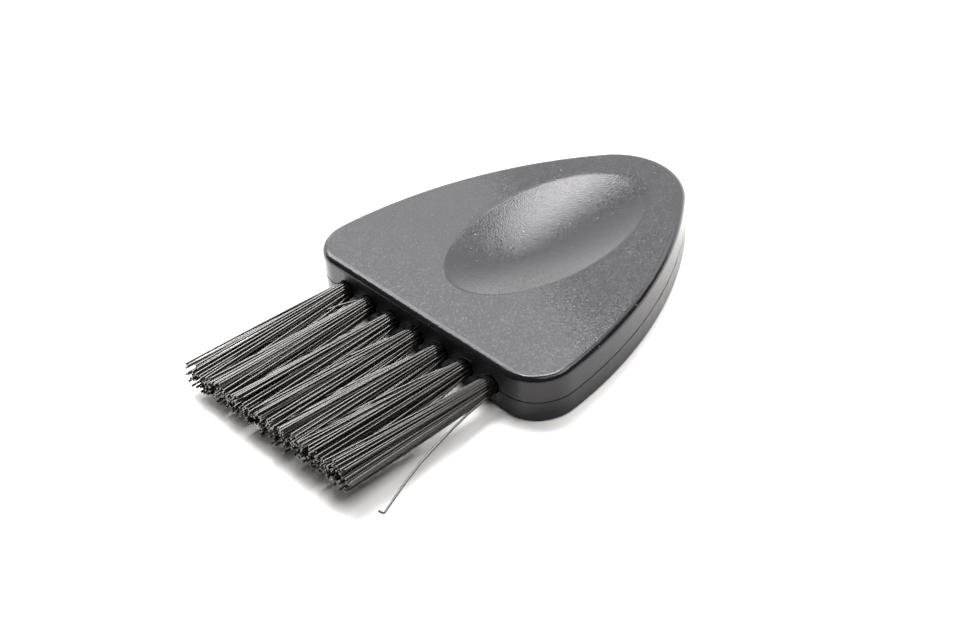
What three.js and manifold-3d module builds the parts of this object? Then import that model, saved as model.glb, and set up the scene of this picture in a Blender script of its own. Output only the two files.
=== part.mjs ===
import * as THREE from "three";
import { mergeVertices } from "three/addons/utils/BufferGeometryUtils.js";
import Module from "manifold-3d";

const wasm = await Module();
wasm.setup();

// Handle plan in millimetres: front face at y = 0, tip at y = handleLength, underside at z = 0.
const handleWidth = 33.7;
const handleLength = 33.4;
const handleThickness = 5.1;
const frontCornerRadius = 4.2;
const sideRadius = 45.2;
const tipRadius = 7.7;

// Handle section: both mould halves draft away from the parting line, but the lower front stays upright.
const partingHeight = 2.3;
const lowerDraftDegrees = 3.5;
const upperDraftDegrees = 0.5;
const edgeRadius = 0.65;
const footRadius = 0.25;
const partingGrooveWidth = 0.16;
const partingGrooveDepth = 0.08;

// Oval dish for the thumb on top, and its twin for the finger underneath.
const recessFrontMargin = 5.5;
const recessTipMargin = 4.1;
const recessWidth = 14.2;
const recessDepth = 1.45;
const recessFullness = 1.65;
const recessLowShift = 3.0;
const recessRimSoftness = 0.03;

// Row of folded bristle tufts set in blind holes along the front face.
const tuftCount = 7;
const tuftRowMargin = 6.2;
const tuftDiameter = 1.8;
const tuftHeight = handleThickness / 2;
const filamentDiameter = 0.21;
const filamentRings = 4;
const bristleLength = 18.5;
const bristleRaggedness = 0.8;
const tipHeight = 2.8;
const tipRise = 0.4;
const tipGap = 0.06;
const holeDepth = 4.6;
const holeClearance = 0.07;
const rootSetback = 0.3;
const rootMargin = 0.02;

// One filament of the last tuft is bent out sideways and hooked at its end.
const strayLength = 17.3;
const straySideReach = 4.3;
const strayDrop = 0.55;
const strayHook = 0.6;

// Flat metal anchor held in the fold of each tuft, its edges pressed into the hole wall.
const anchorThickness = 0.3;
const anchorLength = 1.7;
const anchorBite = 0.2;
const anchorClearance = 0.05;
const foldThickness = 0.95;

// Mesh fineness.
const frontSteps = 14;
const cornerSteps = 6;
const sideSteps = 16;
const tipSteps = 8;
const edgeSteps = 4;
const holeSides = 24;
const rootSides = 24;
const straySteps = 7;

const handleMaterial = new THREE.MeshStandardMaterial({ color: 0x2a2a2c, roughness: 0.5, metalness: 0.0 });
const bristleMaterial = new THREE.MeshStandardMaterial({ color: 0x1c1c1d, roughness: 0.4, metalness: 0.0 });
const anchorMaterial = new THREE.MeshStandardMaterial({ color: 0xa8a9a5, roughness: 0.35, metalness: 1.0 });

const recessHalfLength = (handleLength - recessFrontMargin - recessTipMargin) / 2;
const recessMiddle = recessFrontMargin + recessHalfLength;
const tuftPitch = (handleWidth - 2 * tuftRowMargin) / (tuftCount - 1);
const holeRadius = tuftDiameter / 2 + holeClearance;
const lowerDraft = Math.tan(THREE.MathUtils.degToRad(lowerDraftDegrees));
const upperDraft = Math.tan(THREE.MathUtils.degToRad(upperDraftDegrees));
const recessLow = recessMiddle - recessLowShift;

function toSolid(geometry) {
  const bare = geometry.clone();
  bare.deleteAttribute("normal");
  bare.deleteAttribute("uv");
  const merged = mergeVertices(bare.index ? bare.toNonIndexed() : bare, 1e-5);
  return new wasm.Manifold(new wasm.Mesh({
    numProp: 3,
    vertProperties: new Float32Array(merged.attributes.position.array),
    triVerts: new Uint32Array(merged.index.array),
  }));
}

function toGeometry(solid) {
  const mesh = solid.getMesh();
  const geometry = new THREE.BufferGeometry();
  geometry.setAttribute("position", new THREE.BufferAttribute(new Float32Array(mesh.vertProperties), 3));
  geometry.setIndex(new THREE.BufferAttribute(new Uint32Array(mesh.triVerts), 1));
  return geometry;
}

function named(name, geometry, material) {
  geometry.computeVertexNormals();
  const mesh = new THREE.Mesh(geometry, material);
  mesh.name = name;
  return mesh;
}

// Points of the handle plan, anticlockwise from the left end of the front line, moved in by inset,
// with the front line moved in by an inset of its own.
// Front corners, long sides and tip are arcs that run smoothly into one another.
function planOutline(inset, frontInset = inset) {
  const forward = inset - frontInset;
  const corner = new THREE.Vector2(handleWidth / 2 - frontCornerRadius, frontCornerRadius);
  const tip = new THREE.Vector2(0, handleLength - tipRadius);
  const span = corner.distanceTo(tip);
  const toCorner = sideRadius - frontCornerRadius;
  const toTip = sideRadius - tipRadius;
  const along = (span * span + toCorner * toCorner - toTip * toTip) / (2 * span);
  const away = Math.sqrt(toCorner * toCorner - along * along);
  const course = tip.clone().sub(corner).normalize();
  const side = corner.clone().addScaledVector(course, along);
  side.add(new THREE.Vector2(-course.y, course.x).multiplyScalar(away));
  const cornerEnd = Math.atan2(corner.y - side.y, corner.x - side.x);
  const sideEnd = Math.atan2(tip.y - side.y, tip.x - side.x);
  const right = [];
  const arc = (centre, radius, from, to, steps) => {
    for (let i = 1; i <= steps; i += 1) {
      const angle = from + (to - from) * (i / steps);
      right.push([centre.x + radius * Math.cos(angle), centre.y + radius * Math.sin(angle)]);
    }
  };
  arc(corner, frontCornerRadius - inset, -Math.PI / 2, cornerEnd, cornerSteps);
  arc(side, sideRadius - inset, cornerEnd, sideEnd, sideSteps);
  arc(tip, tipRadius - inset, sideEnd, Math.PI / 2, tipSteps);
  const points = [];
  for (let i = 0; i <= frontSteps; i += 1) {
    points.push([corner.x * ((2 * i) / frontSteps - 1), inset]);
  }
  const left = right.slice(0, -1).reverse().map(([x, y]) => [-x, y]);
  const inFront = (y) => Math.max(0, 1 - (y - inset) / (frontCornerRadius - inset));
  return points.concat(right, left).map(([x, y]) => [x, y - forward * inFront(y)]);
}

// Ring of the recess at a share of the way from its low point, which lies forward of its middle, to its
// oval rim, with one rim point on the line from the oval's middle to each point of the outline.
function recessOval(outline, reach) {
  const halfWidth = recessWidth / 2;
  return outline.map(([x, y]) => {
    const angle = Math.atan2(y - recessMiddle, x);
    const radius = 1 / Math.hypot(Math.cos(angle) / halfWidth, Math.sin(angle) / recessHalfLength);
    const rimX = radius * Math.cos(angle);
    const rimY = recessMiddle + radius * Math.sin(angle);
    return [rimX * reach, recessLow + (rimY - recessLow) * reach];
  });
}

// Depth of the dish at a share of the way out to its rim, with the rim itself rounded over.
function recessSink(reach) {
  const soft = recessRimSoftness;
  if (reach >= 1 + soft) {
    return 0;
  }
  if (reach > 1 - soft) {
    const inner = 1 - (1 - soft) ** recessFullness;
    return recessDepth * inner * ((1 + soft - reach) / (2 * soft)) ** 2;
  }
  return recessDepth * (1 - reach ** recessFullness);
}

function handleBlank() {
  const rings = [];
  const addRing = (points, z) => rings.push(points.map(([x, y]) => [x, y, z]));
  const soft = recessRimSoftness;
  const reaches = [0.2, 0.4, 0.6, 0.8, 1 - soft, 1 - soft / 3, 1 + soft / 3, 1 + soft];
  const lowInset = partingHeight * lowerDraft;
  const highInset = (handleThickness - partingHeight) * upperDraft;
  const lowPlan = planOutline(lowInset + footRadius, footRadius);
  const highPlan = planOutline(highInset + edgeRadius);
  for (const reach of reaches) {
    addRing(recessOval(lowPlan, reach), recessSink(reach));
  }
  for (let i = 0; i <= edgeSteps; i += 1) {
    const angle = (Math.PI / 2) * (i / edgeSteps);
    const z = footRadius * (1 - Math.cos(angle));
    const footInset = footRadius * (1 - Math.sin(angle));
    addRing(planOutline((partingHeight - z) * lowerDraft + footInset, footInset), z);
  }
  const grooveHalf = partingGrooveWidth / 2;
  addRing(planOutline(grooveHalf * lowerDraft, 0), partingHeight - grooveHalf);
  addRing(planOutline(partingGrooveDepth), partingHeight);
  addRing(planOutline(grooveHalf * upperDraft), partingHeight + grooveHalf);
  for (let i = edgeSteps; i >= 0; i -= 1) {
    const angle = (Math.PI / 2) * (i / edgeSteps);
    const z = handleThickness - edgeRadius * (1 - Math.cos(angle));
    const wallInset = (z - partingHeight) * upperDraft;
    addRing(planOutline(wallInset + edgeRadius * (1 - Math.sin(angle))), z);
  }
  for (const reach of reaches.toReversed()) {
    addRing(recessOval(highPlan, reach), handleThickness - recessSink(reach));
  }
  const count = rings[0].length;
  const vertices = rings.flat(2);
  const index = [];
  for (let row = 0; row + 1 < rings.length; row += 1) {
    for (let i = 0; i < count; i += 1) {
      const j = (i + 1) % count;
      const a = row * count + i;
      const b = row * count + j;
      index.push(a, b, b + count, a, b + count, a + count);
    }
  }
  const lowCentre = vertices.length / 3;
  vertices.push(0, recessLow, recessDepth);
  vertices.push(0, recessLow, handleThickness - recessDepth);
  const last = (rings.length - 1) * count;
  for (let i = 0; i < count; i += 1) {
    const j = (i + 1) % count;
    index.push(lowCentre, j, i);
    index.push(lowCentre + 1, last + i, last + j);
  }
  const geometry = new THREE.BufferGeometry();
  geometry.setAttribute("position", new THREE.Float32BufferAttribute(vertices, 3));
  geometry.setIndex(index);
  return toSolid(geometry);
}

// Round bar along y, centred on a tuft's axis.
function tuftBar(x, radius, fromY, toY, sides) {
  const bar = new THREE.CylinderGeometry(radius, radius, toY - fromY, sides);
  bar.translate(x, (fromY + toY) / 2, tuftHeight);
  return toSolid(bar);
}

// Block around the place of an anchor, larger than it by margin on every side.
function anchorBlock(x, width, margin) {
  const endY = holeDepth - holeClearance - foldThickness;
  const block = new THREE.BoxGeometry(
    anchorThickness + 2 * margin,
    anchorLength + 2 * margin,
    width + 2 * margin,
  );
  block.translate(x, endY - anchorLength / 2, tuftHeight);
  return toSolid(block);
}

// Four-sided filament swept through a list of points, from inside the root to its cut end.
function filament(path) {
  const radius = filamentDiameter / 2;
  const vertices = [];
  const index = [];
  const sides = 4;
  path.forEach((point, row) => {
    const ahead = path[Math.min(row + 1, path.length - 1)];
    const behind = path[Math.max(row - 1, 0)];
    const along = ahead.clone().sub(behind).normalize();
    const across = new THREE.Vector3(0, 0, 1).cross(along).normalize();
    const upward = along.clone().cross(across);
    for (let i = 0; i < sides; i += 1) {
      const angle = ((i + 0.5) / sides) * 2 * Math.PI;
      const corner = point.clone();
      corner.addScaledVector(across, radius * Math.cos(angle));
      corner.addScaledVector(upward, radius * Math.sin(angle));
      vertices.push(corner.x, corner.y, corner.z);
    }
    if (row > 0) {
      const base = (row - 1) * sides;
      for (let i = 0; i < sides; i += 1) {
        const j = (i + 1) % sides;
        index.push(base + i, base + j, base + sides + j, base + i, base + sides + j, base + sides + i);
      }
    }
  });
  const end = (path.length - 1) * sides;
  index.push(0, 2, 1, 0, 3, 2, end, end + 1, end + 2, end, end + 2, end + 3);
  const geometry = new THREE.BufferGeometry();
  geometry.setAttribute("position", new THREE.Float32BufferAttribute(vertices, 3));
  geometry.setIndex(index);
  return toSolid(geometry);
}

// Places of the filaments across a tuft, in rings round its axis, as shares of the outermost ring.
function filamentPlaces() {
  const places = [];
  const innermost = 1 / Math.sqrt(3);
  for (let ring = 0; ring < filamentRings; ring += 1) {
    const around = 6 * ring + 3;
    const share = (ring + innermost) / (filamentRings - 1 + innermost);
    for (let i = 0; i < around; i += 1) {
      const angle = (i / around) * 2 * Math.PI - Math.PI / 6;
      places.push([share * Math.cos(angle), share * Math.sin(angle)]);
    }
  }
  return places;
}

// Path of the bent filament: along the tuft at first, then away to the side, with a short hook.
function strayPath(start) {
  const path = [start];
  for (let i = 1; i <= straySteps; i += 1) {
    const t = i / straySteps;
    path.push(new THREE.Vector3(
      start.x + straySideReach * t ** 1.7,
      -strayLength * t,
      start.z - strayDrop * t,
    ));
  }
  const end = path[path.length - 1];
  path.push(new THREE.Vector3(end.x - strayHook, end.y - strayHook / 3, end.z));
  return path;
}

function bristleTuft(x, tuft) {
  const rootFlat = (tuftDiameter / 2) * Math.cos(Math.PI / rootSides);
  const rootRadius = rootFlat - rootMargin - filamentDiameter / 2;
  const tipHalfWidth = (tuftPitch - tipGap - filamentDiameter) / 2;
  const tipHalfHeight = (tipHeight - filamentDiameter) / 2;
  const startY = 2 * rootSetback;
  const strayPlace = filamentPlaces().length - (6 * filamentRings - 3);
  let solid = tuftBar(x, tuftDiameter / 2, rootSetback, holeDepth - holeClearance, rootSides);
  filamentPlaces().forEach(([px, pz], place) => {
    const start = new THREE.Vector3(x + px * rootRadius, startY, tuftHeight + pz * rootRadius);
    const share = ((place + 1) * 0.618 + tuft * 0.37) % 1;
    const end = new THREE.Vector3(
      x + px * tipHalfWidth,
      bristleRaggedness * share - bristleLength,
      tuftHeight + tipRise + pz * tipHalfHeight,
    );
    const bent = tuft === tuftCount && place === strayPlace;
    solid = solid.add(filament(bent ? strayPath(start) : [start, end]));
  });
  return solid.subtract(anchorBlock(x, tuftDiameter, anchorClearance));
}

const brush = new THREE.Group();
brush.name = "shaver_cleaning_brush";
const anchorWidth = 2 * (holeRadius + anchorBite);
let handle = handleBlank();
for (let tuft = 1; tuft <= tuftCount; tuft += 1) {
  const x = (tuft - (tuftCount + 1) / 2) * tuftPitch;
  handle = handle.subtract(tuftBar(x, holeRadius, -handleThickness, holeDepth, holeSides));
  handle = handle.subtract(anchorBlock(x, anchorWidth, anchorClearance));
  brush.add(named(`bristle_tuft_${tuft}`, toGeometry(bristleTuft(x, tuft)), bristleMaterial));
  brush.add(named(`anchor_${tuft}`, toGeometry(anchorBlock(x, anchorWidth, 0)), anchorMaterial));
}
brush.add(named("handle", toGeometry(handle), handleMaterial));

// The origin is the middle of the underside of the whole brush.
const box = new THREE.Box3().setFromObject(brush);
const middle = box.getCenter(new THREE.Vector3());
for (const piece of brush.children) {
  piece.geometry.translate(-middle.x, -middle.y, -box.min.z);
}

export default brush;
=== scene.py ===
"""Shaver cleaning brush on a pale floor: moulded handle, folded bristle tufts, hidden anchors."""

import math
import random

import bpy
from mathutils import Matrix, Vector


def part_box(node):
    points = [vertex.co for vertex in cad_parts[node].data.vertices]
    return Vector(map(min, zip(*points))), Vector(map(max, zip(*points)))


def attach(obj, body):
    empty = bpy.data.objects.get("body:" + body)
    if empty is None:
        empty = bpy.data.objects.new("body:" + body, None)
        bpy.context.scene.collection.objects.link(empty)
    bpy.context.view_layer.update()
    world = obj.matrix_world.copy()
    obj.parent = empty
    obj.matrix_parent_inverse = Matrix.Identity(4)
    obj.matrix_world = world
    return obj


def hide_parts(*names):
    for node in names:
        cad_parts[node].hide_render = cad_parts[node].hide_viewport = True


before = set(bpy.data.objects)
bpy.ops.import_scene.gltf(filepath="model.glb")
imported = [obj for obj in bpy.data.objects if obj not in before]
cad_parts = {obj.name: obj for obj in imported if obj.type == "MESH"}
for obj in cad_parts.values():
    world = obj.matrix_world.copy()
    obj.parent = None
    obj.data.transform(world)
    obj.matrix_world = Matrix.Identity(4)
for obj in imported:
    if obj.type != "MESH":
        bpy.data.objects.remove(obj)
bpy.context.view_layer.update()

MM = 0.001
FRONT_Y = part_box("handle")[0][1]

# Handle, in millimetres from the middle of the front face at floor level.
HANDLE_WIDTH = 33.7
HANDLE_LENGTH = 33.4
HANDLE_THICKNESS = 5.1
CORNER_RADIUS = 4.2
SIDE_RADIUS = 45.2
TIP_RADIUS = 7.7
PARTING_HEIGHT = 2.3
LOWER_DRAFT = math.tan(math.radians(3.5))
UPPER_DRAFT = math.tan(math.radians(0.5))
EDGE_RADIUS = 0.65
FOOT_RADIUS = 0.25

# Groove of the parting line, and the bits of moulding flash along its two edges.
GROOVE_WIDTH = 0.13
GROOVE_DEPTH = 0.10
FLASH_CHANCE = 0.16
FLASH_REACH = 0.055
FLASH_LEAST_SHARE = 0.4
FLASH_SEED = 11

# Oval dish on top and its twin underneath.
RECESS_FRONT_MARGIN = 5.5
RECESS_TIP_MARGIN = 4.1
RECESS_WIDTH = 14.2
RECESS_DEPTH = 1.45
RECESS_FULLNESS = 1.65
RECESS_LOW_SHIFT = -3.0
RECESS_SOFT = 0.03
RECESS_HALF_LENGTH = (HANDLE_LENGTH - RECESS_FRONT_MARGIN - RECESS_TIP_MARGIN) / 2
RECESS_MIDDLE = RECESS_FRONT_MARGIN + RECESS_HALF_LENGTH

# Mesh fineness of the handle. The plan has steps along the front, each corner, each side and half
# the tip. The dish has even rings, one more before its rim, and steps over the rounded rim. Guard
# rings hold the shading: one above the groove, in half widths of it, and two inside the top edge.
PLAN_STEPS = (84, 20, 48, 28)
EDGE_STEPS = 8
RECESS_RINGS = 18
RECESS_RING_STEP = 0.05
RECESS_LAST_RING = 0.94
RECESS_RIM_STEPS = 8
GROOVE_GUARD = 2.5
TOP_GUARD_INSETS = (0.06, 0.16)
HANDLE_SHARP_DEGREES = 32

# Holes of the tuft row.
TUFT_COUNT = 7
TUFT_ROW_MARGIN = 6.2
TUFT_PITCH = (HANDLE_WIDTH - 2 * TUFT_ROW_MARGIN) / (TUFT_COUNT - 1)
TUFT_HEIGHT = HANDLE_THICKNESS / 2
HOLE_RADIUS = 1.0
HOLE_DEPTH = 4.6
HOLE_BREAK = 0.025
HOLE_SIDES = 64
CUTTER_PROUD = 0.5

# Courses of the thin shavings that the drill left standing at the mouths of some holes.
SHAVING_RADIUS = 0.035
SHAVING_SIDES = 6
SHAVING_COURSES = (
    ((-1.45, 0.05, 3.12), (-1.15, -0.12, 3.27), (-0.89, -0.15, 3.50), (-0.47, -0.15, 3.58)),
    ((0.62, 0.05, 4.10), (0.51, -0.12, 4.04), (0.36, -0.20, 3.75), (0.20, -0.25, 3.64)),
    ((2.45, 0.05, 3.20), (2.63, -0.10, 3.41), (3.08, -0.15, 3.56), (3.73, -0.12, 3.64),
     (3.95, 0.05, 3.60)),
    ((5.20, 0.05, 2.65), (5.37, -0.10, 2.65), (5.55, -0.15, 2.58), (5.78, -0.15, 2.61)),
    ((6.45, 0.05, 3.40), (6.69, -0.10, 3.57), (7.47, -0.15, 3.87), (8.11, -0.10, 3.82),
     (8.30, 0.05, 3.75)),
    ((8.50, 0.05, 2.50), (8.67, -0.10, 2.58), (9.30, -0.15, 2.95), (9.75, -0.15, 3.30),
     (10.50, -0.12, 3.72), (10.80, 0.05, 3.75)),
)

# Zones of the handle's finish: how level a flat is, how far a dish reaches as a share of its rim,
# and the pale band on the top edge in front of and behind the line where that edge becomes flat.
# What stands further out of the front face than its tolerance is a shaving.
FLAT_TOLERANCE = 0.004
DISH_REACH = 1.06
PALE_EDGE_SINK = 0.03
PALE_EDGE_BEFORE = 0.20
PALE_EDGE_BEHIND = 0.07
FRONT_TOLERANCE = 0.005

# Filaments of one half of a tuft, in columns of distance from its middle and count. The other half
# is mirrored, and each filament is folded round the anchor from one half to the other.
FILAMENT_RADIUS = 0.120
FILAMENT_SPACING = 0.2416
FILAMENT_COLUMNS = ((0.120, 8), (0.329, 7), (0.539, 6), (0.748, 3))
FILAMENT_SIDES = 8
FILAMENT_SHARP_DEGREES = 50
BUNDLE_RADIUS = 0.854
FOLD_INNER = 0.30
FOLD_OUTER = 0.875
FOLD_START = 1.75
FOLD_CENTRE = 3.62
FOLD_LEAD = (0.2, 0.5, 0.8)
FOLD_STEPS = 10

# Free part of the filaments: reach of a tuft's tips, and how single filaments stray from it.
BRISTLE_LENGTH = 18.1
LENGTH_SCATTER = (-0.45, 0.35, 0.05)
TIP_HALF_WIDTH = 2.05
TIP_INNER_HALF_WIDTH = 2.25
TIP_HALF_HEIGHT = 1.45
TIP_RISE = 0.35
TIP_RISE_ACROSS = 0.05
TIP_SCATTER = 0.08
TUFT_SEED = 100
CLUMP_COUNT = 7
CLUMP_DISTANCE = 0.42
CLUMP_PULL = (0.05, 0.35)
CREST_FROM = 0.15
CREST_SPLAY = 0.15
LOWER_SPLAY = 0.42
OUTER_SPLAY_LIMIT = 1.1
BOW = 0.06
OUTER_BOW = 0.03
STRAND_STEPS = 11
STRAND_CROWDING = 1.35

# Gaps between tufts, by the number of the tuft before them: those that low filaments fill, and the
# one that stays open. A flare below one spreads a filament soon after it leaves its hole.
SHUT_GAPS = (1, 5)
OPEN_GAP = 6
SHUT_GAP_SPLAY = 0.35
EVEN_FLARE = (0.9, 1.15)
SHUT_GAP_FLARE = (0.52, 0.70)
EARLY_FLARE = (0.55, 0.85)

# Course of the one filament that is bent out of the last tuft, ending in a small hook.
STRAY_COURSE = (
    (11.45, -0.5, 2.45), (11.73, -2.03, 2.40), (12.05, -4.36, 2.36), (12.47, -6.45, 2.30),
    (12.98, -8.80, 2.20), (13.55, -11.17, 2.05), (14.54, -14.12, 1.90), (15.60, -16.80, 1.72),
    (15.74, -17.14, 1.70), (15.66, -17.24, 1.70), (15.18, -17.32, 1.70),
)

# Handle plastic: its colours, and how much of the pale zone and speck colours shows. The glint
# colour is painted highlight, light flecks that stand for the glints of the grain.
HANDLE_DARK = (0.0066, 0.0066, 0.0074, 1)
HANDLE_LIGHT = (0.0096, 0.0094, 0.0105, 1)
PALE_ZONE_COLOUR = (0.10, 0.10, 0.103, 1)
PALE_ZONE_SHARE = 0.5
SPECK_COLOUR = (0.20, 0.20, 0.207, 1)
SPECK_SHARE = 0.5
PAINTED_GLINT_COLOUR = (0.068, 0.067, 0.068, 1)

# Handle plastic: noise scales per millimetre, the size and rarity of specks, and the painted glints
# of the grain, flecks of painted highlight which grow stronger towards the front.
FINE_SCALE = 6.5
BROAD_SCALE = 0.35
PEEL_SCALE = 2.6
SPECK_SCALE = 2.4
SPECK_EDGE = (0.08, 0.18)
SPECK_RARITY = 0.88
GLINT_SCALE = 4.8
GLINT_LEVELS = (0.54, 0.74)
GLINT_DIRECTION = (0.25, -0.97, 0.0)
GLINT_FADE = (-4.0, 4.0)
GLINT_LEAST = 0.15

# Handle plastic: roughness and relief. The grain is coarser near the front than near the tip, and
# the matt front zone fades out round the corner and at the left end of the front face.
GRAIN_DIRECTION = (0.45, 0.9, 0.0)
GRAIN_FADE = (1.0, 9.0)
GRAIN_ROUGHNESS = (0.39, 0.20)
GRAIN_RELIEF = (1.0, 0.58)
FRONT_FACING = (-0.90, -0.985)
FRONT_LEFT_END = (-11.2, -9.8)
FRONT_ROUGHNESS = 0.55
EDGE_FACING = (0.1, 0.5)
WALL_TO_EDGE_ROUGHNESS = (0.20, 0.13)
DISH_ROUGHNESS = 0.19
GROOVE_ROUGHNESS = 0.95
BROAD_ROUGHNESS = (-0.03, 0.03)
WALL_RELIEF = 0.22
DISH_RELIEF = 0.48
PEEL_RELIEF = 0.06
SPECK_RELIEF = 0.6
HANDLE_BUMP = 0.00006

# Bristle nylon and anchor steel.
BRISTLE_DARK = (0.003, 0.0027, 0.0024, 1)
BRISTLE_LIGHT = (0.0125, 0.0115, 0.0105, 1)
BRISTLE_ROUGHNESS = (0.06, 0.17)
STREAK_SCALE = 2.2
STREAK_LEVELS = (0.3, 0.7)
STREAK_ROUGHNESS = (-0.03, 0.03)
BRISTLE_BUMP = 0.000006
STEEL_DARK = (0.46, 0.46, 0.45, 1)
STEEL_LIGHT = (0.62, 0.62, 0.60, 1)
STEEL_SCALE = 5.0
STEEL_LEVELS = (0.2, 0.8)
STEEL_ROUGHNESS = (0.28, 0.44)

# Studio: half the width of the floor and the distance of the soft boxes in metres, and the
# strength of the world's own light.
FLOOR_HALF = 3.0
SOFT_BOX_DISTANCE = 0.9
WORLD_STRENGTH = 0.05


def place(x, y, z):
    """A point of the brush, given in millimetres, in the frame's metres."""
    return Vector((x * MM, FRONT_Y + y * MM, z * MM))


def new_object(name, vertices, faces):
    mesh = bpy.data.meshes.new(name)
    mesh.from_pydata(vertices, [], faces)
    mesh.validate()
    mesh.update()
    obj = bpy.data.objects.new(name, mesh)
    bpy.context.scene.collection.objects.link(obj)
    return obj


def smooth_with_edges(mesh, degrees):
    for polygon in mesh.polygons:
        polygon.use_smooth = True
    mesh.set_sharp_from_angle(angle=math.radians(degrees))


def plan_outline(inset, front_inset=None):
    """Points of the handle plan moved in by inset, anticlockwise from the left end of the front."""
    front_steps, corner_steps, side_steps, tip_steps = PLAN_STEPS
    forward = 0.0 if front_inset is None else inset - front_inset
    corner = Vector((HANDLE_WIDTH / 2 - CORNER_RADIUS, CORNER_RADIUS))
    tip = Vector((0.0, HANDLE_LENGTH - TIP_RADIUS))
    course = tip - corner
    span = course.length
    course = course / span
    to_corner = SIDE_RADIUS - CORNER_RADIUS
    to_tip = SIDE_RADIUS - TIP_RADIUS
    along = (span * span + to_corner * to_corner - to_tip * to_tip) / (2 * span)
    away = math.sqrt(to_corner * to_corner - along * along)
    side = corner + course * along + Vector((-course.y, course.x)) * away
    corner_end = math.atan2(corner.y - side.y, corner.x - side.x)
    side_end = math.atan2(tip.y - side.y, tip.x - side.x)
    right = []

    def arc(centre, radius, start, end, steps):
        for i in range(1, steps + 1):
            angle = start + (end - start) * i / steps
            right.append((centre.x + radius * math.cos(angle), centre.y + radius * math.sin(angle)))

    arc(corner, CORNER_RADIUS - inset, -math.pi / 2, corner_end, corner_steps)
    arc(side, SIDE_RADIUS - inset, corner_end, side_end, side_steps)
    arc(tip, TIP_RADIUS - inset, side_end, math.pi / 2, tip_steps)
    front = [(corner.x * (2 * i / front_steps - 1), inset) for i in range(front_steps + 1)]
    left = [(-x, y) for x, y in reversed(right[:-1])]
    points = []
    for x, y in front + right + left:
        share = max(0.0, 1 - (y - inset) / (CORNER_RADIUS - inset))
        points.append((x, y - forward * share))
    return points


def recess_reach(x, y):
    """How far out a point lies from the middle of the dish, as a share of the way to its rim."""
    return math.hypot(x / (RECESS_WIDTH / 2), (y - RECESS_MIDDLE) / RECESS_HALF_LENGTH)


def recess_oval(outline, reach):
    """Ring of the dish at a share of the way from its low point, forward of its middle, to its rim."""
    low_y = RECESS_MIDDLE + RECESS_LOW_SHIFT
    points = []
    for x, y in outline:
        share = 1 / recess_reach(x, y)
        rim_y = RECESS_MIDDLE + (y - RECESS_MIDDLE) * share
        points.append((x * share * reach, low_y + (rim_y - low_y) * reach))
    return points


def recess_sink(reach):
    """Depth of the dish at a share of the way out to its rim, with the rim rounded over."""
    if reach >= 1 + RECESS_SOFT:
        return 0.0
    if reach > 1 - RECESS_SOFT:
        inner = 1 - (1 - RECESS_SOFT) ** RECESS_FULLNESS
        return RECESS_DEPTH * inner * ((1 + RECESS_SOFT - reach) / (2 * RECESS_SOFT)) ** 2
    return RECESS_DEPTH * (1 - reach ** RECESS_FULLNESS)


def with_flash(points, chance):
    """The outline with short bits of moulding flash standing out of it here and there."""
    moved = []
    count = len(points)
    for i, (x, y) in enumerate(points):
        ahead = points[(i + 1) % count]
        behind = points[i - 1]
        run = math.hypot(ahead[0] - behind[0], ahead[1] - behind[1])
        out = 0.0
        if chance.random() < FLASH_CHANCE:
            out = chance.uniform(FLASH_LEAST_SHARE, 1.0) * FLASH_REACH
        moved.append((x + out * (ahead[1] - behind[1]) / run, y - out * (ahead[0] - behind[0]) / run))
    return moved


def handle_rings():
    """Rings of the handle's skin with their heights, from the lower dish round to the upper one."""
    chance = random.Random(FLASH_SEED)
    rings = []
    low_plan = plan_outline(PARTING_HEIGHT * LOWER_DRAFT + FOOT_RADIUS, FOOT_RADIUS)
    high_plan = plan_outline((HANDLE_THICKNESS - PARTING_HEIGHT) * UPPER_DRAFT + EDGE_RADIUS)
    reaches = [RECESS_RING_STEP + RECESS_RING_STEP * i for i in range(RECESS_RINGS)]
    reaches.append(RECESS_LAST_RING)
    for i in range(RECESS_RIM_STEPS + 1):
        reaches.append(1 - RECESS_SOFT + 2 * RECESS_SOFT * i / RECESS_RIM_STEPS)
    for reach in reaches:
        rings.append((recess_oval(low_plan, reach), recess_sink(reach)))
    for i in range(EDGE_STEPS + 1):
        angle = math.pi / 2 * i / EDGE_STEPS
        z = FOOT_RADIUS * (1 - math.cos(angle))
        foot_inset = FOOT_RADIUS * (1 - math.sin(angle))
        rings.append((plan_outline((PARTING_HEIGHT - z) * LOWER_DRAFT + foot_inset, foot_inset), z))
    half = GROOVE_WIDTH / 2
    guard = GROOVE_GUARD * half
    rings.append((with_flash(plan_outline(half * LOWER_DRAFT, 0.0), chance), PARTING_HEIGHT - half))
    rings.append((plan_outline(GROOVE_DEPTH), PARTING_HEIGHT - half / 3))
    rings.append((plan_outline(GROOVE_DEPTH), PARTING_HEIGHT + half / 3))
    rings.append((with_flash(plan_outline(half * UPPER_DRAFT), chance), PARTING_HEIGHT + half))
    rings.append((plan_outline(guard * UPPER_DRAFT), PARTING_HEIGHT + guard))
    for i in range(EDGE_STEPS, -1, -1):
        angle = math.pi / 2 * i / EDGE_STEPS
        z = HANDLE_THICKNESS - EDGE_RADIUS * (1 - math.cos(angle))
        inset = (z - PARTING_HEIGHT) * UPPER_DRAFT + EDGE_RADIUS * (1 - math.sin(angle))
        rings.append((plan_outline(inset), z))
    for guard_inset in TOP_GUARD_INSETS:
        rings.append((plan_outline(inset + guard_inset), z))
    for reach in reversed(reaches):
        rings.append((recess_oval(high_plan, reach), HANDLE_THICKNESS - recess_sink(reach)))
    return rings


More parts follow.
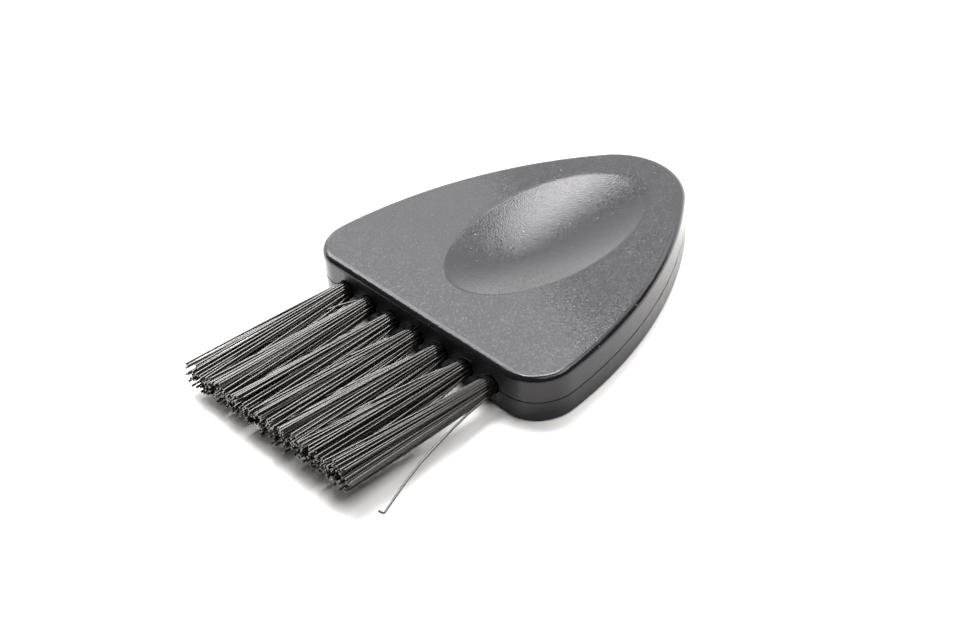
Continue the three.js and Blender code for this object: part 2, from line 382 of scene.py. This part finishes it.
def handle_blank():
    """The handle before its holes are cut."""
    rings = handle_rings()
    count = len(rings[0][0])
    vertices = [place(x, y, z) for points, z in rings for x, y in points]
    faces = []
    for row in range(len(rings) - 1):
        for i in range(count):
            a = row * count + i
            b = row * count + (i + 1) % count
            faces.append((a, b, b + count, a + count))
    low = len(vertices)
    vertices.append(place(0, RECESS_MIDDLE + RECESS_LOW_SHIFT, RECESS_DEPTH))
    vertices.append(place(0, RECESS_MIDDLE + RECESS_LOW_SHIFT, HANDLE_THICKNESS - RECESS_DEPTH))
    last = (len(rings) - 1) * count
    for i in range(count):
        j = (i + 1) % count
        faces.append((low, j, i))
        faces.append((low + 1, last + i, last + j))
    return new_object("brush_handle", vertices, faces)


def tuft_x(tuft):
    return (tuft - (TUFT_COUNT + 1) / 2) * TUFT_PITCH


def hole_cutter():
    """Seven round cutters along y, each with a small chamfer at the mouth of its hole."""
    profile = (
        (0.0, HOLE_DEPTH),
        (HOLE_RADIUS, HOLE_DEPTH),
        (HOLE_RADIUS, HOLE_BREAK),
        (HOLE_RADIUS + HOLE_BREAK + CUTTER_PROUD, -CUTTER_PROUD),
        (0.0, -CUTTER_PROUD),
    )
    rows = len(profile) - 2
    vertices = []
    faces = []
    for tuft in range(1, TUFT_COUNT + 1):
        x = tuft_x(tuft)
        base = len(vertices)
        vertices.append(place(x, profile[0][1], TUFT_HEIGHT))
        for radius, y in profile[1:-1]:
            for i in range(HOLE_SIDES):
                angle = 2 * math.pi * i / HOLE_SIDES
                z = TUFT_HEIGHT + radius * math.sin(angle)
                vertices.append(place(x + radius * math.cos(angle), y, z))
        vertices.append(place(x, profile[-1][1], TUFT_HEIGHT))
        first = base + 1
        last = first + (rows - 1) * HOLE_SIDES
        end = len(vertices) - 1
        for i in range(HOLE_SIDES):
            j = (i + 1) % HOLE_SIDES
            faces.append((base, first + j, first + i))
            faces.append((end, last + i, last + j))
            for row in range(rows - 1):
                a = first + row * HOLE_SIDES
                faces.append((a + i, a + j, a + HOLE_SIDES + j, a + HOLE_SIDES + i))
    return new_object("hole_cutter", vertices, faces)


def mark_finish(mesh):
    """Zones of the finish: flats in red, dishes in green, the pale top front edge and shavings in blue.
    """
    finish = mesh.color_attributes.new("finish", "FLOAT_COLOR", "POINT")
    front_top = EDGE_RADIUS + (HANDLE_THICKNESS - PARTING_HEIGHT) * UPPER_DRAFT
    for i, vertex in enumerate(mesh.vertices):
        x = vertex.co.x / MM
        y = (vertex.co.y - FRONT_Y) / MM
        z = vertex.co.z / MM
        flat = z > HANDLE_THICKNESS - FLAT_TOLERANCE or z < FLAT_TOLERANCE
        dished = not flat and recess_reach(x, y) < DISH_REACH
        on_edge = front_top - PALE_EDGE_BEFORE < y < front_top + PALE_EDGE_BEHIND
        # Pale zone: the shavings, and a narrow band where the front edge rounds into the top.
        pale_zone = y < -FRONT_TOLERANCE or (on_edge and z > HANDLE_THICKNESS - PALE_EDGE_SINK)
        finish.data[i].color = (float(flat), float(dished), float(pale_zone), 1.0)


def with_shavings(mesh):
    """A new mesh of the handle together with the shavings at its holes."""
    vertices = [vertex.co.copy() for vertex in mesh.vertices]
    faces = [tuple(polygon.vertices) for polygon in mesh.polygons]
    for course in SHAVING_COURSES:
        path = [place(*point) for point in course]
        add_tube(vertices, faces, path, SHAVING_RADIUS, SHAVING_SIDES)
    whole = bpy.data.meshes.new("brush_handle")
    whole.from_pydata(vertices, [], faces)
    whole.update()
    return whole


def make_handle():
    """The handle with its holes cut, its shavings added and its finish marked."""
    handle = handle_blank()
    cutter = hole_cutter()
    cut = handle.modifiers.new("holes", "BOOLEAN")
    cut.operation = "DIFFERENCE"
    cut.solver = "EXACT"
    cut.object = cutter
    bpy.context.view_layer.update()
    evaluated = handle.evaluated_get(bpy.context.evaluated_depsgraph_get())
    drilled = bpy.data.meshes.new_from_object(evaluated)
    handle.modifiers.clear()
    handle.data = with_shavings(drilled)
    bpy.data.objects.remove(cutter)
    mark_finish(handle.data)
    smooth_with_edges(handle.data, HANDLE_SHARP_DEGREES)
    weigh = handle.modifiers.new("even_shading", "WEIGHTED_NORMAL")
    weigh.keep_sharp = True
    return handle


def add_tube(vertices, faces, path, radius, sides):
    """A round closed tube along a list of points, its radius in millimetres."""
    base = len(vertices)
    rows = len(path)
    for row, point in enumerate(path):
        ahead = path[min(row + 1, rows - 1)]
        behind = path[max(row - 1, 0)]
        along = (ahead - behind).normalized()
        across = Vector((0, 0, 1)).cross(along).normalized()
        upward = along.cross(across)
        for i in range(sides):
            angle = 2 * math.pi * i / sides
            out = across * math.cos(angle) + upward * math.sin(angle)
            vertices.append(point + out * radius * MM)
    for row in range(rows - 1):
        for i in range(sides):
            j = (i + 1) % sides
            a = base + row * sides
            faces.append((a + i, a + j, a + sides + j, a + sides + i))
    faces.append(tuple(base + i for i in reversed(range(sides))))
    faces.append(tuple(base + (rows - 1) * sides + i for i in range(sides)))


def half_bundle():
    """Places of the filaments in the right half of a tuft, as distance right of and above its axis."""
    places = []
    for x, count in FILAMENT_COLUMNS:
        for i in range(count):
            places.append((x, (i - (count - 1) / 2) * FILAMENT_SPACING))
    return places


def beside_gap(tuft, px, gap):
    """Whether a filament is in a half tuft that borders a gap, named by the tuft before it."""
    return (tuft == gap and px > 0) or (tuft == gap + 1 and px < 0)


def strand(tuft, px, pz, clumps, chance):
    """Free part of a filament, from the mouth of its hole to its cut end."""
    x = tuft_x(tuft)
    ux = px / BUNDLE_RADIUS
    uz = pz / BUNDLE_RADIUS
    near = min(clumps, key=lambda c: (c[0] - ux) ** 2 + (c[1] - uz) ** 2)
    crest = uz > CREST_FROM
    outer = (tuft == 1 and px < 0) or (tuft == TUFT_COUNT and px > 0)
    shut_gap = any(beside_gap(tuft, px, gap) for gap in SHUT_GAPS)
    open_gap = beside_gap(tuft, px, OPEN_GAP)

    pull = chance.uniform(*CLUMP_PULL)
    splay = 1.0 + abs(chance.gauss(0.0, CREST_SPLAY if crest else LOWER_SPLAY))
    if shut_gap and not crest:
        splay += SHUT_GAP_SPLAY
    if outer:
        splay = min(splay, OUTER_SPLAY_LIMIT)
    half_width = TIP_HALF_WIDTH if outer else TIP_INNER_HALF_WIDTH
    tip_x = x + (ux + (near[0] - ux) * pull) * splay * half_width + chance.gauss(0.0, TIP_SCATTER)
    middle_z = TUFT_HEIGHT + TIP_RISE + TIP_RISE_ACROSS * x
    tip_z = middle_z + (uz + (near[1] - uz) * pull) * TIP_HALF_HEIGHT + chance.gauss(0.0, TIP_SCATTER)
    if crest or outer or open_gap:
        flare = chance.uniform(*EVEN_FLARE)
    elif shut_gap:
        flare = chance.uniform(*SHUT_GAP_FLARE)
    else:
        flare = chance.uniform(*EARLY_FLARE)
    length = BRISTLE_LENGTH + chance.triangular(*LENGTH_SCATTER)
    bow_x = chance.gauss(0.0, OUTER_BOW if outer else BOW)
    bow_z = chance.gauss(0.0, BOW)

    path = []
    for i in range(STRAND_STEPS + 1):
        t = (i / STRAND_STEPS) ** STRAND_CROWDING
        bend = 4 * t * (1 - t)
        spread = t ** flare
        path.append(place(
            x + px + (tip_x - x - px) * spread + bow_x * bend,
            -length * t,
            TUFT_HEIGHT + pz + (tip_z - TUFT_HEIGHT - pz) * spread + bow_z * bend,
        ))
    return path


def fold(tuft, px, pz):
    """Hidden part of a filament: into the hole, round the anchor and out on the other side."""
    x = tuft_x(tuft)
    share = (px - FILAMENT_COLUMNS[0][0]) / (FILAMENT_COLUMNS[-1][0] - FILAMENT_COLUMNS[0][0])
    reach = FOLD_INNER + (FOLD_OUTER - FOLD_INNER) * share
    path = []
    for t in FOLD_LEAD:
        path.append((px + (reach - px) * t, FOLD_START * t, pz))
    path.append((reach, FOLD_START, pz))
    for i in range(FOLD_STEPS + 1):
        angle = math.pi * i / FOLD_STEPS
        path.append((reach * math.cos(angle), FOLD_CENTRE + reach * math.sin(angle), pz))
    path.append((-reach, FOLD_START, pz))
    for t in reversed(FOLD_LEAD):
        path.append((-px - (reach - px) * t, FOLD_START * t, pz))
    return [place(x + dx, y, TUFT_HEIGHT + dz) for dx, y, dz in path]


def make_tuft(tuft):
    """One tuft of folded filaments, whose tips lean towards a few clumps."""
    chance = random.Random(TUFT_SEED + tuft)
    clumps = []
    while len(clumps) < CLUMP_COUNT:
        spot = (chance.uniform(-1, 1), chance.uniform(-1, 1))
        if math.hypot(*spot) < 1 and all(math.dist(spot, other) > CLUMP_DISTANCE for other in clumps):
            clumps.append(spot)
    vertices = []
    faces = []
    tones = []
    for px, pz in half_bundle():
        right = strand(tuft, px, pz, clumps, chance)
        left = strand(tuft, -px, pz, clumps, chance)
        if tuft == TUFT_COUNT and px == FILAMENT_COLUMNS[-1][0] and pz < 0:
            right = [right[0]] + [place(*point) for point in STRAY_COURSE]
        path = list(reversed(right)) + fold(tuft, px, pz) + left
        start = len(vertices)
        add_tube(vertices, faces, path, FILAMENT_RADIUS, FILAMENT_SIDES)
        tone = (chance.random(), chance.random(), chance.random(), 1.0)
        tones += [tone] * (len(vertices) - start)
    obj = new_object(f"bristles_{tuft}", vertices, faces)
    shade = obj.data.color_attributes.new("tone", "FLOAT_COLOR", "POINT")
    for i, tone in enumerate(tones):
        shade.data[i].color = tone
    smooth_with_edges(obj.data, FILAMENT_SHARP_DEGREES)
    return obj


def principled(name, colour, roughness):
    """A new material with a plain colour and roughness, and its shader."""
    material = bpy.data.materials.new(name)
    material.use_nodes = True
    shader = material.node_tree.nodes["Principled BSDF"]
    shader.inputs["Base Color"].default_value = (*colour, 1.0)
    shader.inputs["Roughness"].default_value = roughness
    return material, shader


class Nodes:
    """Short calls for adding nodes to a material and linking them."""

    def __init__(self, material):
        self.tree = material.node_tree

    def add(self, kind, **settings):
        node = self.tree.nodes.new(kind)
        for name, value in settings.items():
            setattr(node, name, value)
        return node

    def feed(self, socket, value):
        """Link a socket to another one, or set it to a plain value."""
        if isinstance(value, bpy.types.NodeSocket):
            self.tree.links.new(value, socket)
        else:
            socket.default_value = value

    def millimetres(self):
        """Place on the piece, in millimetres of the frame."""
        coordinates = self.add("ShaderNodeTexCoord")
        scaled = self.add("ShaderNodeMapping")
        scaled.inputs["Scale"].default_value = (1000.0, 1000.0, 1000.0)
        self.feed(scaled.inputs["Vector"], coordinates.outputs["Object"])
        return scaled.outputs["Vector"]

    def split(self, vector):
        """Outputs X, Y and Z of a vector."""
        node = self.add("ShaderNodeSeparateXYZ")
        self.feed(node.inputs["Vector"], vector)
        return node.outputs

    def split_colour(self, colour):
        """Outputs Red, Green and Blue of a colour."""
        node = self.add("ShaderNodeSeparateColor")
        self.feed(node.inputs["Color"], colour)
        return node.outputs

    def zones(self, name):
        """Outputs Red, Green and Blue of the mesh's own colours of a given name."""
        return self.split_colour(self.add("ShaderNodeAttribute", attribute_name=name).outputs["Color"])

    def distance_along(self, vector, direction):
        node = self.add("ShaderNodeVectorMath", operation="DOT_PRODUCT")
        self.feed(node.inputs[0], vector)
        node.inputs[1].default_value = direction
        return node.outputs["Value"]

    def noise(self, vector, scale, detail, roughness=0.5):
        node = self.add("ShaderNodeTexNoise")
        self.feed(node.inputs["Vector"], vector)
        node.inputs["Scale"].default_value = scale
        node.inputs["Detail"].default_value = detail
        node.inputs["Roughness"].default_value = roughness
        return node.outputs["Fac"]

    def math(self, operation, first, second=0.0):
        node = self.add("ShaderNodeMath", operation=operation)
        self.feed(node.inputs[0], first)
        self.feed(node.inputs[1], second)
        return node.outputs[0]

    def remap(self, value, low, high, to_low, to_high):
        node = self.add("ShaderNodeMapRange")
        self.feed(node.inputs["Value"], value)
        node.inputs["From Min"].default_value = low
        node.inputs["From Max"].default_value = high
        self.feed(node.inputs["To Min"], to_low)
        self.feed(node.inputs["To Max"], to_high)
        return node.outputs["Result"]

    def by_zone(self, zone, outside, inside):
        """One value outside a zone and another inside it, with the zone from 0 to 1."""
        return self.remap(zone, 0.0, 1.0, outside, inside)

    def mix_colour(self, share, first, second):
        """A mix of two colours. The node's colour sockets share their names, so numbers find them."""
        node = self.add("ShaderNodeMix", data_type="RGBA")
        self.feed(node.inputs[0], share)
        self.feed(node.inputs[6], first)
        self.feed(node.inputs[7], second)
        return node.outputs[2]

    def bump(self, height, distance):
        node = self.add("ShaderNodeBump")
        node.inputs["Strength"].default_value = 1.0
        node.inputs["Distance"].default_value = distance
        self.feed(node.inputs["Height"], height)
        return node.outputs["Normal"]


def handle_specks(nodes, where):
    """Mask of small round specks, in a few of the cells of a random pattern."""
    cells = nodes.add("ShaderNodeTexVoronoi")
    nodes.feed(cells.inputs["Vector"], where)
    cells.inputs["Scale"].default_value = SPECK_SCALE
    speck = nodes.remap(cells.outputs["Distance"], *SPECK_EDGE, 1.0, 0.0)
    pick = nodes.split_colour(cells.outputs["Color"])["Red"]
    return nodes.math("MULTIPLY", speck, nodes.math("GREATER_THAN", pick, SPECK_RARITY))


def painted_glints(nodes, where, grain):
    """Mask of painted glints on the grained flats, flecks of painted highlight stronger towards the
    front.
    """
    painted_glint = nodes.noise(where, GLINT_SCALE, detail=2.0, roughness=0.55)
    painted_glint = nodes.remap(painted_glint, *GLINT_LEVELS, 0.0, 1.0)
    forward = nodes.distance_along(where, GLINT_DIRECTION)
    painted_glint = nodes.math("MULTIPLY", painted_glint, nodes.remap(forward, *GLINT_FADE, GLINT_LEAST, 1.0))
    return nodes.math("MULTIPLY", painted_glint, grain)


def handle_material():
    """Black plastic: grained flats, finer dishes, smooth walls, a matt front face and a dull groove."""
    material, shader = principled("handle_plastic", colour=(0.008, 0.008, 0.0087), roughness=0.3)
    shader.inputs["Specular IOR Level"].default_value = 0.33
    shader.inputs["Specular Tint"].default_value = (0.965, 0.935, 1.0, 1.0)
    nodes = Nodes(material)
    where = nodes.millimetres()
    at = nodes.split(where)
    facing = nodes.split(nodes.add("ShaderNodeNewGeometry").outputs["Normal"])
    finish = nodes.zones("finish")
    grain = finish["Red"]
    dish = finish["Green"]
    pale_zone = finish["Blue"]

    fine = nodes.noise(where, FINE_SCALE, detail=1.0)
    broad = nodes.noise(where, BROAD_SCALE, detail=3.0)
    peel = nodes.noise(where, PEEL_SCALE, detail=2.0)
    speck = handle_specks(nodes, where)
    # Painted glints: light flecks of painted highlight on the grained flats.
    painted_glint = painted_glints(nodes, where, grain)
    backward = nodes.distance_along(where, GRAIN_DIRECTION)
    front = nodes.remap(facing["Y"], *FRONT_FACING, 0.0, 1.0)
    front = nodes.math("MULTIPLY", front, nodes.remap(at["X"], *FRONT_LEFT_END, 0.0, 1.0))
    groove = nodes.math("ABSOLUTE", nodes.math("SUBTRACT", at["Z"], PARTING_HEIGHT))
    groove = nodes.math("LESS_THAN", groove, GROOVE_WIDTH / 2)

    shade = nodes.mix_colour(broad, HANDLE_DARK, HANDLE_LIGHT)
    # A paler colour on the band along the top front edge and on the shavings.
    shade = nodes.mix_colour(nodes.math("MULTIPLY", pale_zone, PALE_ZONE_SHARE), shade, PALE_ZONE_COLOUR)
    shade = nodes.mix_colour(nodes.math("MULTIPLY", speck, SPECK_SHARE), shade, SPECK_COLOUR)
    # Painted highlight: the glint flecks are mixed into the base colour.
    shade = nodes.mix_colour(painted_glint, shade, PAINTED_GLINT_COLOUR)
    nodes.feed(shader.inputs["Base Color"], shade)

    smooth = nodes.remap(facing["Z"], *EDGE_FACING, *WALL_TO_EDGE_ROUGHNESS)
    grained = nodes.remap(backward, *GRAIN_FADE, *GRAIN_ROUGHNESS)
    rough = nodes.by_zone(grain, smooth, grained)
    rough = nodes.by_zone(dish, rough, DISH_ROUGHNESS)
    rough = nodes.by_zone(front, rough, FRONT_ROUGHNESS)
    rough = nodes.math("ADD", rough, nodes.by_zone(broad, *BROAD_ROUGHNESS))
    rough = nodes.by_zone(groove, rough, GROOVE_ROUGHNESS)
    nodes.feed(shader.inputs["Roughness"], rough)

    coarse = nodes.remap(backward, *GRAIN_FADE, *GRAIN_RELIEF)
    relief = nodes.by_zone(dish, nodes.by_zone(grain, WALL_RELIEF, coarse), DISH_RELIEF)
    height = nodes.math("MULTIPLY", fine, relief)
    height = nodes.math("ADD", height, nodes.math("MULTIPLY", peel, PEEL_RELIEF))
    height = nodes.math("ADD", height, nodes.math("MULTIPLY", speck, SPECK_RELIEF))
    nodes.feed(shader.inputs["Normal"], nodes.bump(height, HANDLE_BUMP))
    return material


def bristle_material():
    """Nylon whose shade and gloss differ from filament to filament, with fine streaks."""
    material, shader = principled("bristle_nylon", colour=(0.010, 0.0095, 0.009), roughness=0.28)
    shader.inputs["IOR"].default_value = 1.58
    shader.inputs["Specular Tint"].default_value = (1.0, 0.955, 0.93, 1.0)
    nodes = Nodes(material)
    tone = nodes.zones("tone")
    streak = nodes.noise(nodes.millimetres(), STREAK_SCALE, detail=3.0, roughness=0.6)
    shade = nodes.mix_colour(tone["Red"], BRISTLE_DARK, BRISTLE_LIGHT)
    nodes.feed(shader.inputs["Base Color"], shade)
    rough = nodes.by_zone(tone["Green"], *BRISTLE_ROUGHNESS)
    rough = nodes.math("ADD", rough, nodes.remap(streak, *STREAK_LEVELS, *STREAK_ROUGHNESS))
    nodes.feed(shader.inputs["Roughness"], rough)
    nodes.feed(shader.inputs["Normal"], nodes.bump(streak, BRISTLE_BUMP))
    return material


def steel_material():
    """Plain drawn steel with soft patches of shade and gloss."""
    material, shader = principled("anchor_steel", colour=(0.55, 0.55, 0.53), roughness=0.35)
    shader.inputs["Metallic"].default_value = 1.0
    nodes = Nodes(material)
    drawn = nodes.noise(nodes.millimetres(), STEEL_SCALE, detail=4.0)
    nodes.feed(shader.inputs["Base Color"], nodes.mix_colour(drawn, STEEL_DARK, STEEL_LIGHT))
    nodes.feed(shader.inputs["Roughness"], nodes.remap(drawn, *STEEL_LEVELS, *STEEL_ROUGHNESS))
    return material


def make_floor():
    half = FLOOR_HALF
    corners = [(-half, -half, 0), (half, -half, 0), (half, half, 0), (-half, half, 0)]
    floor = new_object("floor", corners, [(0, 1, 2, 3)])
    material, shader = principled("pale_floor", colour=(0.90, 0.885, 0.865), roughness=0.9)
    shader.inputs["Specular IOR Level"].default_value = 0.1
    floor.data.materials.append(material)


def light_panel(name, width, height, radiance, location, rotation):
    """A flat light of a given size and brightness."""
    light = bpy.data.lights.new(name, "AREA")
    light.shape = "RECTANGLE"
    light.size = width
    light.size_y = height
    light.energy = radiance * math.pi * width * height
    obj = bpy.data.objects.new(name, light)
    obj.location = location
    obj.rotation_euler = rotation
    bpy.context.scene.collection.objects.link(obj)


def level_light(name, azimuth, height, reach, width, length, radiance):
    """A level panel that faces down, with its middle and its length out along an azimuth."""
    turn = math.radians(azimuth)
    location = (reach * math.cos(turn), reach * math.sin(turn), height)
    light_panel(name, length, width, radiance, location, (0.0, 0.0, turn))


def upright_light(name, azimuth, distance, width, height, radiance):
    """An upright panel that stands on the floor and faces the brush."""
    turn = math.radians(azimuth)
    location = (distance * math.cos(turn), distance * math.sin(turn), height / 2)
    light_panel(name, width, height, radiance, location, (math.pi / 2, 0.0, turn + math.pi / 2))


def soft_box(name, azimuth, elevation, spread, radiance):
    """A square panel of a given angular width that faces the brush."""
    turn = math.radians(azimuth)
    rise = math.radians(elevation)
    level = math.cos(rise)
    direction = Vector((level * math.cos(turn), level * math.sin(turn), math.sin(rise)))
    size = 2 * SOFT_BOX_DISTANCE * math.tan(math.radians(spread) / 2)
    rotation = direction.to_track_quat("Z", "Y").to_euler()
    light_panel(name, size, size, radiance, direction * SOFT_BOX_DISTANCE, rotation)


def make_light():
    """Studio light. Angles are in degrees, with azimuths from the right and 90 at the tip."""
    world = bpy.data.worlds.new("studio")
    bpy.context.scene.world = world
    world.use_nodes = True
    background = world.node_tree.nodes["Background"]
    background.inputs["Color"].default_value = (1.0, 1.0, 1.0, 1.0)
    background.inputs["Strength"].default_value = WORLD_STRENGTH
    level_light("overhead", azimuth=141, height=0.5, reach=0.255, width=0.28, length=0.28, radiance=26.0)
    upright_light("backdrop", azimuth=122, distance=0.85, width=1.5, height=0.85, radiance=2.6)
    upright_light("horizon", azimuth=122, distance=0.84, width=1.1, height=0.14, radiance=0.9)
    soft_box("back_high", azimuth=94, elevation=46, spread=28, radiance=2.8)
    level_light("side", azimuth=45, height=0.6, reach=0.42, width=0.42, length=0.25, radiance=9.0)
    soft_box("left_low", azimuth=180, elevation=18, spread=40, radiance=2.4)
    soft_box("left_high", azimuth=180, elevation=42, spread=20, radiance=12.0)
    soft_box("right_high", azimuth=-8, elevation=68, spread=28, radiance=3.4)
    bpy.context.scene.view_settings.view_transform = "Standard"


def make_camera():
    """A camera at the viewing angle of the photograph."""
    camera = bpy.data.cameras.new("camera")
    camera.sensor_width = 36.0
    camera.sensor_fit = "HORIZONTAL"
    camera.lens = 75.42
    camera.clip_start = 0.01
    azimuth = math.radians(52.425)
    elevation = math.radians(38.19)
    roll = math.radians(-6.73)
    eye = place(122.19, -86.28, 121.0)
    back = Vector((
        math.sin(azimuth) * math.cos(elevation),
        -math.cos(azimuth) * math.cos(elevation),
        math.sin(elevation),
    ))
    right = (-back).cross(Vector((0, 0, 1))).normalized()
    up = right.cross(-back)
    turned_right = right * math.cos(roll) + up * math.sin(roll)
    turned_up = up * math.cos(roll) - right * math.sin(roll)
    obj = bpy.data.objects.new("camera", camera)
    obj.matrix_world = Matrix((
        (turned_right.x, turned_up.x, back.x, eye.x),
        (turned_right.y, turned_up.y, back.y, eye.y),
        (turned_right.z, turned_up.z, back.z, eye.z),
        (0, 0, 0, 1),
    ))
    bpy.context.scene.collection.objects.link(obj)
    bpy.context.scene.camera = obj


handle = make_handle()
handle.data.materials.append(handle_material())
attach(handle, "root")
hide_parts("handle")

nylon = bristle_material()
for tuft in range(1, TUFT_COUNT + 1):
    bristles = make_tuft(tuft)
    bristles.data.materials.append(nylon)
    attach(bristles, "root")
    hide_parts(f"bristle_tuft_{tuft}")

steel = steel_material()
for tuft in range(1, TUFT_COUNT + 1):
    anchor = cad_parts[f"anchor_{tuft}"]
    anchor.data.materials.clear()
    anchor.data.materials.append(steel)

make_floor()
make_light()
make_camera()
